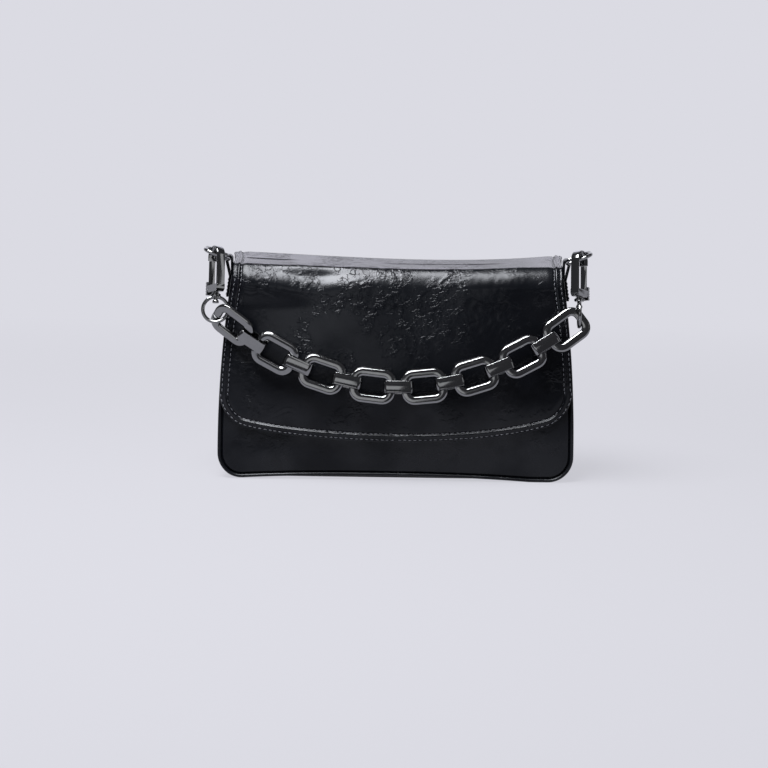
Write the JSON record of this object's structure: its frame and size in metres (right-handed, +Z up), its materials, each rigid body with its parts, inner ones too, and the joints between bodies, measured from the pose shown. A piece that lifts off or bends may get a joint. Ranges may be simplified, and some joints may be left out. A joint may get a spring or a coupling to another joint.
{
  "type": "handbag",
  "caption": "Shoulder bag with a full front flap, magnetic closure, and a chunky chain strap clipped to side rings by swivel snap hooks.",
  "frame": {"origin": "on the surface the bag stands on, under the middle of its base", "axes": "+X to the right in a front view, along the bag's width; -Y out of the front, where the flap and chain are; +Z up"},
  "size_m": [0.3039, 0.0895, 0.1829],
  "materials": {
    "body_leather": "glossy, finely crinkled",
    "flap_leather": "glossy, finely crinkled",
    "edge_leather": "glossy",
    "lining_cloth": "plain woven",
    "board": "matte",
    "magnet_steel": "plated",
    "spring_steel": "drawn wire",
    "pin_steel": "turned",
    "link_metal": "polished dark plating",
    "connector_metal": "polished dark plating",
    "hook_metal": "polished dark plating",
    "ring_metal": "polished dark plating"
  },
  "bodies": {
    "bag": {"front_panel": "body_leather", "back_panel": "body_leather", "gusset": "body_leather", "front_piping": "edge_leather", "back_piping": "edge_leather", "base_board": "board", "lining": "lining_cloth", "mouth_binding": "edge_leather", "magnet_socket": "magnet_steel", "magnet_washer": "magnet_steel", "flap_back_strip": "flap_leather", "left_tab": "body_leather", "right_tab": "body_leather"},
    "left_ring": {"left_dring": "ring_metal"},
    "right_ring": {"right_dring": "ring_metal"},
    "flap_top": {"flap_top_leather": "flap_leather", "flap_top_lining": "lining_cloth"},
    "flap_front": {"flap_front_leather": "flap_leather", "flap_front_lining": "lining_cloth", "magnet_plug": "magnet_steel"},
    "strap": {"left_hook_body": "hook_metal", "left_hook_stem": "hook_metal", "left_gate_pin": "pin_steel", "left_gate_spring": "spring_steel", "right_hook_body": "hook_metal", "right_hook_stem": "hook_metal", "right_gate_pin": "pin_steel", "right_gate_spring": "spring_steel", "connector_1": "connector_metal", "connector_2": "connector_metal", "connector_3": "connector_metal", "connector_4": "connector_metal", "connector_5": "connector_metal", "connector_6": "connector_metal", "connector_7": "connector_metal"},
    "left_gate_lever": {"left_gate": "hook_metal"},
    "right_gate_lever": {"right_gate": "hook_metal"},
    "left_eye": {"left_swivel_eye": "hook_metal"},
    "right_eye": {"right_swivel_eye": "hook_metal"},
    "link_1_body": {"link_1": "link_metal"},
    "link_2_body": {"link_2": "link_metal"},
    "link_3_body": {"link_3": "link_metal"},
    "link_4_body": {"link_4": "link_metal"},
    "link_5_body": {"link_5": "link_metal"},
    "link_6_body": {"link_6": "link_metal"},
    "link_7_body": {"link_7": "link_metal"},
    "link_8_body": {"link_8": "link_metal"}
  },
  "joints": [
    {"name": "strap_swing", "type": "hinge", "parent": "bag", "child": "strap", "pos_m": [0, -0.0225, 0.1755], "axis": [-1, 0, 0], "range_deg": [0, 180]},
    {"name": "flap_back_fold", "type": "hinge", "parent": "bag", "child": "flap_top", "pos_m": [0, 0.023, 0.17], "axis": [-1, 0, 0], "range_deg": [0, 45]},
    {"name": "flap_front_fold", "type": "hinge", "parent": "flap_top", "child": "flap_front", "pos_m": [0, -0.0172, 0.161], "axis": [-1, 0, 0], "range_deg": [0, 90]},
    {"name": "left_ring_tilt", "type": "hinge", "parent": "bag", "child": "left_ring", "pos_m": [-0.1321, -0.0115, 0.1719], "axis": [0, 1, 0], "range_deg": [-3, 1]},
    {"name": "left_gate_press", "type": "hinge", "parent": "strap", "child": "left_gate_lever", "pos_m": [-0.14455, -0.02429, 0.14865], "axis": [0.848, 0.5094, -0.1461], "range_deg": [0, 14], "stiffness_Nm_per_rad": 0.02},
    {"name": "left_swivel", "type": "hinge", "parent": "strap", "child": "left_eye", "pos_m": [-0.141, -0.03432, 0.13426], "axis": [0, 0.2756, 0.9613], "range_deg": [-6, 3]},
    {"name": "right_ring_tilt", "type": "hinge", "parent": "bag", "child": "right_ring", "pos_m": [0.1321, -0.0115, 0.1719], "axis": [0, -1, 0], "range_deg": [-3, 1]},
    {"name": "right_gate_press", "type": "hinge", "parent": "strap", "child": "right_gate_lever", "pos_m": [0.14455, -0.02429, 0.14865], "axis": [0.848, -0.5094, 0.1461], "range_deg": [0, 14], "stiffness_Nm_per_rad": 0.02},
    {"name": "right_swivel", "type": "hinge", "parent": "strap", "child": "right_eye", "pos_m": [0.141, -0.03432, 0.13426], "axis": [0, 0.2756, 0.9613], "range_deg": [-3, 6]},
    {"name": "link_1_roll", "type": "hinge", "parent": "strap", "child": "link_1_body", "pos_m": [-0.12753, -0.03771, 0.12247], "axis": [0.7989, -0.1658, -0.5782], "range_deg": [-2, 2]},
    {"name": "link_2_roll", "type": "hinge", "parent": "strap", "child": "link_2_body", "pos_m": [-0.09392, -0.04367, 0.10168], "axis": [0.8807, -0.1305, -0.4553], "range_deg": [-3, 3]},
    {"name": "link_3_roll", "type": "hinge", "parent": "strap", "child": "link_3_body", "pos_m": [-0.05721, -0.04801, 0.08655], "axis": [0.9517, -0.0846, -0.2952], "range_deg": [-3, 3]},
    {"name": "link_4_roll", "type": "hinge", "parent": "strap", "child": "link_4_body", "pos_m": [-0.01816, -0.05031, 0.0785], "axis": [0.9943, -0.0295, -0.1028], "range_deg": [-3, 3]},
    {"name": "link_5_roll", "type": "hinge", "parent": "strap", "child": "link_5_body", "pos_m": [0.02176, -0.05031, 0.0785], "axis": [0.9943, 0.0295, 0.1028], "range_deg": [-3, 3]},
    {"name": "link_6_roll", "type": "hinge", "parent": "strap", "child": "link_6_body", "pos_m": [0.06081, -0.04801, 0.08655], "axis": [0.9517, 0.0846, 0.2952], "range_deg": [-3, 3]},
    {"name": "link_7_roll", "type": "hinge", "parent": "strap", "child": "link_7_body", "pos_m": [0.09752, -0.04367, 0.10168], "axis": [0.8807, 0.1305, 0.4553], "range_deg": [-3, 3]},
    {"name": "link_8_roll", "type": "hinge", "parent": "strap", "child": "link_8_body", "pos_m": [0.13113, -0.03771, 0.12247], "axis": [0.7989, 0.1658, 0.5782], "range_deg": [-3, 3]}
  ],
  "couplings": [
    {"joint": "flap_back_fold", "follows": "strap_swing", "ratio": 0.25},
    {"joint": "flap_front_fold", "follows": "strap_swing", "ratio": 0.5}
  ]
}
